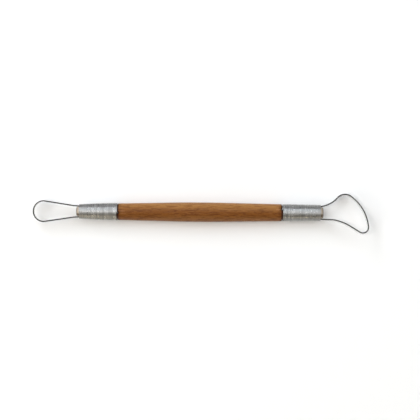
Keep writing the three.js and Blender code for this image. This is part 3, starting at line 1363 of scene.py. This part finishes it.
@dataclass
class Handle:
    """The turned hardwood handle with its two tenons."""

    small: ToolEnd
    large: ToolEnd
    belly_flat: float = 8.0
    belly_rounding: float = 4.0
    edge_radius: float = 0.12
    stub_edge: float = 0.3
    sides: int = 128
    station_step: float = 1.2
    edge_stations: int = 6
    shoulder_step: float = 0.004
    groove_clearance: float = 0.12
    groove_edge_radius: float = 0.02
    toe_slot_growth: float = 0.2
    hole_radius: float = 0.7
    hole_depth: float = 1.4
    hole_above: float = 1.0
    hole_sides: int = 24
    doubled_gap: float = 0.004
    sharp_from: float = 35.0

    def stations(self, half_length: float) -> list[Vector]:
        """Places along the axis where the turned shape has a ring.

        Args:
            half_length: Distance from the middle to either end face.

        Returns:
            The places, from the small end to the large one.
        """
        tenon = self.small.tenon
        body = self.small.body_length
        tenon_start, stub_start = body + self.shoulder_step, body + tenon.binding_length
        turns = [math.pi / 2 * i / self.edge_stations for i in range(1, self.edge_stations + 1)]
        half = spread(0, body - self.edge_radius, self.station_step)
        half += [body - self.edge_radius * (1 - math.sin(turn)) for turn in turns]
        half += spread(tenon_start, stub_start, self.station_step)
        half += [half_length - self.stub_edge]
        half += [half_length - self.stub_edge * (1 - math.sin(turn)) for turn in turns]
        return [Vector((-x, 0, 0)) for x in reversed(half[1:])] + [Vector((x, 0, 0)) for x in half]

    def build(
        self,
        tree: TurningTree,
        strips: StripTree,
        frame: Frame,
        material: bpy.types.Material,
    ) -> bpy.types.Object:
        """Makes the handle with its grooves, toe slots and tail holes.

        Args:
            tree: The tree that turns the wood.
            strips: The tree that sweeps a strip, for the grooves.
            frame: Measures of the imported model.
            material: The finish.

        Returns:
            The piece, in millimetres.
        """
        tenon = self.small.tenon
        sizes = {
            "Belly Radius": frame.axis_height,
            "Belly Flat": self.belly_flat,
            "Belly Rounding": self.belly_rounding,
            "Body Length": self.small.body_length,
            "Edge Radius": self.edge_radius,
            "Binding Length": tenon.binding_length,
            "Stub Length": tenon.stub_length,
            "Taper Power": tenon.taper_power,
            "Stub Taper": tenon.stub_taper,
            "Stub Edge": self.stub_edge,
            "Small Shoulder": self.small.shoulder_radius,
            "Large Shoulder": self.large.shoulder_radius,
            "Small Root": self.small.root_radius,
            "Large Root": self.large.root_radius,
            "Small Taper": self.small.tenon_taper,
            "Large Taper": self.large.tenon_taper,
            "Axis Height": frame.axis_height,
            "Sides": self.sides,
        }
        start = chain("handle_stations", self.stations(frame.half_length))
        piece = tree.grow("turned_handle", start, material, sizes)
        cutters = []
        for end in (self.small, self.large):
            groove = StripLoop(end, edge_radius=self.groove_edge_radius).build(
                strips, frame, material, self.groove_clearance, self.toe_slot_growth
            )
            cutters += [groove, self.tail_holes(end, frame)]
        for cutter in cutters:
            modifier = piece.modifiers.new(cutter.name, "BOOLEAN")
            modifier.object = cutter
            modifier.operation = "DIFFERENCE"
            modifier.solver = "MANIFOLD"
        keep_evaluated(piece)
        for cutter in cutters:
            bpy.data.objects.remove(cutter)
        clean_cuts(piece.data, self.doubled_gap)
        smoothed(piece, self.sharp_from)
        return piece

    def tail_holes(self, end: ToolEnd, frame: Frame) -> bpy.types.Object:
        """Makes the cutters of the two holes that the tails of a winding go into.

        Args:
            end: The end that they belong to.
            frame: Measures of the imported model.

        Returns:
            Two round pegs in one object, in millimetres.
        """
        tenon = end.tenon
        pegs = bmesh.new()
        first = tenon.first_turn - tenon.tail_lean
        last = tenon.binding_length - tenon.last_gap + tenon.tail_lean
        for reach, angle, turning in (
            (first, end.tail_angle, -1),
            (last, end.tail_angle + tenon.turns * math.tau, 1),
        ):
            outward = Vector((0, math.sin(angle), math.cos(angle)))
            sideways = Vector((0, math.cos(angle), -math.sin(angle))) * turning
            bottom = end.tenon_radius(reach) - self.hole_depth
            top = end.shoulder_radius + self.hole_above
            centre = outward * (bottom + top) / 2 + sideways * tenon.tail_bend_radius
            centre += Vector((end.way * (end.body_length + reach), 0, frame.axis_height))
            turn = outward.to_track_quat("Z", "X").to_matrix().to_4x4()
            bmesh.ops.create_cone(
                pegs,
                cap_ends=True,
                segments=self.hole_sides,
                radius1=self.hole_radius,
                radius2=self.hole_radius,
                depth=top - bottom,
                matrix=Matrix.Translation(centre) @ turn,
            )
        mesh = bpy.data.meshes.new(f"{end.name}_tail_holes")
        pegs.to_mesh(mesh)
        pegs.free()
        return placed(mesh.name, mesh)


def spread(start: float, end: float, step: float) -> list[float]:
    """Evenly spread numbers.

    Args:
        start: The first one.
        end: The last one.
        step: Largest step between them.

    Returns:
        The numbers.
    """
    count = math.ceil((end - start) / step)
    return [start + (end - start) * i / count for i in range(count + 1)]


@dataclass(frozen=True)
class SoftLamp:
    """A soft box that faces the tool.

    Attributes:
        name: The lamp's name.
        azimuth: Angle from +X towards +Y, in degrees.
        from_top: Angle from straight up to the lamp, in degrees.
        width: Angle that it fills from side to side, in degrees.
        height: Angle that it fills upwards, in degrees.
        share: Brightness that it alone gives a white floor.
        tint: Colour of its light.
        distance: Distance from the origin, in metres.
    """

    name: str
    azimuth: float
    from_top: float
    width: float
    height: float
    share: float
    tint: Triple = (1, 1, 1)
    distance: float = 2.0

    def build(self) -> None:
        """Adds the lamp."""
        lamp = bpy.data.lights.new(self.name, "AREA")
        lamp.color = self.tint
        lamp.shape = "RECTANGLE"
        lamp.size = 2 * self.distance * math.tan(math.radians(self.width / 2))
        lamp.size_y = 2 * self.distance * math.tan(math.radians(self.height / 2))
        tilt, half = math.radians(self.from_top), math.radians(self.width / 2)
        # A wide lamp's ends are further off and aslant, so it gives less than a small one
        reaching = (half + math.sin(half) * math.cos(half)) / (2 * math.tan(half))
        lamp.energy = self.share / reaching * math.pi**2 * self.distance**2 / math.cos(tilt)
        around = math.radians(self.azimuth)
        away = Vector(
            (math.sin(tilt) * math.cos(around), math.sin(tilt) * math.sin(around), math.cos(tilt))
        )
        box = placed(self.name, lamp)
        box.location = away * self.distance
        box.rotation_euler = away.to_track_quat("Z", "Y").to_euler()
        box.visible_camera = False


@dataclass
class Studio:
    """Pale table, soft lamps, a dim room and the camera.

    Attributes:
        frame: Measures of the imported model.
        lamps: The lamps.
        ceiling: Brightness of the room that lights the tool.
        wall_top: Rise at which the white walls end, as the sine of the angle.
        table_size: Side of the square table, in metres.
        table_colour: The table's colour as the tool receives it.
        lens: Focal length, in millimetres.
        sensor: Width of the sensor, in millimetres.
        camera_distance: Height of the camera above the handle's axis, in millimetres.
        camera_offset: Place of the camera along X and Y, in millimetres.
        camera_turn: Angle that the camera is turned, in degrees.
    """

    frame: Frame
    lamps: tuple[SoftLamp, ...] = (
        SoftLamp("overhead", 90, 13.5, 100, 10, 0.123, (1, 0.98, 0.97)),
        SoftLamp("back_high", 90, 28.5, 100, 9, 0.135, (0.91, 0.96, 1)),
        SoftLamp("back_middle", 90, 44, 100, 8, 0.087, (0.84, 0.93, 1)),
        SoftLamp("back_left_low", 120, 62, 26, 18, 0.107, (0.97, 0.97, 1)),
        SoftLamp("left_top", 180, 23, 16, 28, 0.231, (1, 0.97, 0.94)),
        SoftLamp("left_high", 165, 46, 60, 16, 0.146, (0.95, 0.98, 1)),
        SoftLamp("left_front_low", 210, 60, 26, 16, 0.075, (1, 0.94, 0.85)),
        SoftLamp("right_low", 2, 60, 28, 16, 0.058, (0.94, 0.97, 1)),
        SoftLamp("right_back_low", 45, 60, 40, 16, 0.03, (0.85, 0.92, 1)),
        SoftLamp("front_high", 270, 28, 100, 8, 0.0475, (1, 0.93, 0.8)),
        SoftLamp("front_lowest", 270, 68, 100, 8, 0.05, (1, 0.87, 0.64)),
    )
    ceiling: float = 0.02
    wall_top: float = 0.03
    table_size: float = 6.0
    table_colour: Colour = (0.85, 0.85, 0.85, 1)
    lens: float = 100.0
    sensor: float = 36.0
    camera_distance: float = 572.6
    camera_offset: tuple[float, float] = (4.96, 1.10)
    camera_turn: float = 0.38

    def build(self) -> None:
        """Adds everything round the tool."""
        self.add_table()
        for lamp in self.lamps:
            lamp.build()
        self.add_room()
        self.add_camera()
        bpy.context.scene.view_settings.view_transform = "Standard"

    def add_table(self) -> None:
        """Adds the table, which the camera and mirrors see as white."""
        half = self.table_size / 2
        mesh = bpy.data.meshes.new("table")
        corners = [(-half, -half, 0), (half, -half, 0), (half, half, 0), (-half, half, 0)]
        mesh.from_pydata(corners, [], [(0, 1, 2, 3)])
        placed("table", mesh)
        material = bpy.data.materials.new("table_paper")
        material.use_nodes = True
        builder = NodeBuilder(material.node_tree)
        builder.tree.nodes.clear()
        path = builder.node("ShaderNodeLightPath")
        seen = Number(builder, path.outputs["Is Camera Ray"])
        seen = seen.most(Number(builder, path.outputs["Is Glossy Ray"]))
        seen = seen.most(Number(builder, path.outputs["Is Transmission Ray"]))
        plain = builder.node("ShaderNodeBsdfDiffuse", None, {"Color": self.table_colour})
        white = builder.node("ShaderNodeBsdfDiffuse", None, {"Color": WHITE})
        inputs = {0: seen, 1: plain.outputs[0], 2: white.outputs[0]}
        both = builder.node("ShaderNodeMixShader", None, inputs)
        builder.node("ShaderNodeOutputMaterial", None, {"Surface": both.outputs[0]})
        mesh.materials.append(material)

    def add_room(self) -> None:
        """Adds the room: low white walls under a dim ceiling, all white to the camera."""
        world = bpy.data.worlds.new("room")
        world.use_nodes = True
        bpy.context.scene.world = world
        builder = NodeBuilder(world.node_tree)
        builder.tree.nodes.clear()
        _, _, rise = builder.axes(builder.node("ShaderNodeTexCoord").outputs["Generated"])
        wall = 1 - rise.eased(0, self.wall_top)
        path = builder.node("ShaderNodeLightPath")
        mirrored = Number(builder, path.outputs["Is Glossy Ray"])
        mirrored = mirrored.most(Number(builder, path.outputs["Is Transmission Ray"]))
        seen = (mirrored * wall).most(Number(builder, path.outputs["Is Camera Ray"]))
        strength = self.ceiling + (1 - self.ceiling) * seen
        inputs = {"Color": WHITE, "Strength": strength}
        light = builder.node("ShaderNodeBackground", None, inputs)
        builder.node("ShaderNodeOutputWorld", None, {"Surface": light.outputs[0]})

    def add_camera(self) -> None:
        """Adds the camera, straight above the tool."""
        lens = bpy.data.cameras.new("camera")
        lens.lens = self.lens
        lens.sensor_width = self.sensor
        camera = placed("camera", lens)
        height = self.frame.axis_height + self.camera_distance
        camera.location = Vector((*self.camera_offset, height)) * METRES_PER_MM
        camera.rotation_euler = (0, 0, math.radians(self.camera_turn))
        bpy.context.scene.camera = camera


def tool_ends(frame: Frame) -> tuple[ToolEnd, ToolEnd]:
    """Both ends of the tool.

    Args:
        frame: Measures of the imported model.

    Returns:
        The small end and the large end.
    """
    body_length = frame.half_length - Tenon().length
    pear_neck = Bend(past=2.45, across=2.82, radius=3.0)
    pear_crown = Bend(past=22.2, across=5.85, radius=4.94)
    short_flank = Bend(past=5.87, across=4.5, radius=11.65)
    short_lobe = Bend(past=11.33, across=11.22, radius=4.85)
    far_side = Bend(past=22.5, across=1.68, radius=20.6)
    long_lobe = Bend(past=23.5, across=-12.65, radius=2.8)
    long_flank = Bend(past=9.8, across=-3.95, radius=22.1)
    small = ToolEnd(
        name="small",
        way=-1,
        body_length=body_length,
        shoulder_radius=4.05,
        proud=0.2,
        tenon_taper=0.72,
        tail_angle=0.0,
        loop_turn=0.0,
        bends=(pear_neck, pear_crown, pear_crown.mirrored(), pear_neck.mirrored()),
    )
    large = ToolEnd(
        name="large",
        way=1,
        body_length=body_length,
        shoulder_radius=4.15,
        proud=0.02,
        tenon_taper=0.25,
        tail_angle=math.radians(34),
        loop_turn=math.radians(-12),
        bends=(short_flank, short_lobe, far_side, long_lobe, long_flank),
    )
    return small, large


def main() -> None:
    """Builds the tool and the studio round it."""
    logging.basicConfig(level=logging.INFO, format="%(message)s")
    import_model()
    frame = Frame.read()
    small, large = tool_ends(frame)
    wood = HardwoodFinish(frame.axis_height, frame.half_length, small.body_length).material()
    strip_steel = StripFinish().material()
    wire_steel = WireFinish().material()
    strips, windings, turning = StripTree(), WindingTree(), TurningTree()

    handle = Handle(small, large).build(turning, strips, frame, wood)
    mounted(handle, Slot.WOOD, "handle")
    for end in (small, large):
        loop = StripLoop(end).build(strips, frame, strip_steel)
        mounted(loop, Slot.STRIP, f"{end.name}_loop")
        winding = Winding(end).build(windings, frame, wire_steel)
        mounted(winding, Slot.WIRE, f"{end.name}_end_binding")
    Studio(frame).build()


if __name__ == "__main__":
    main()
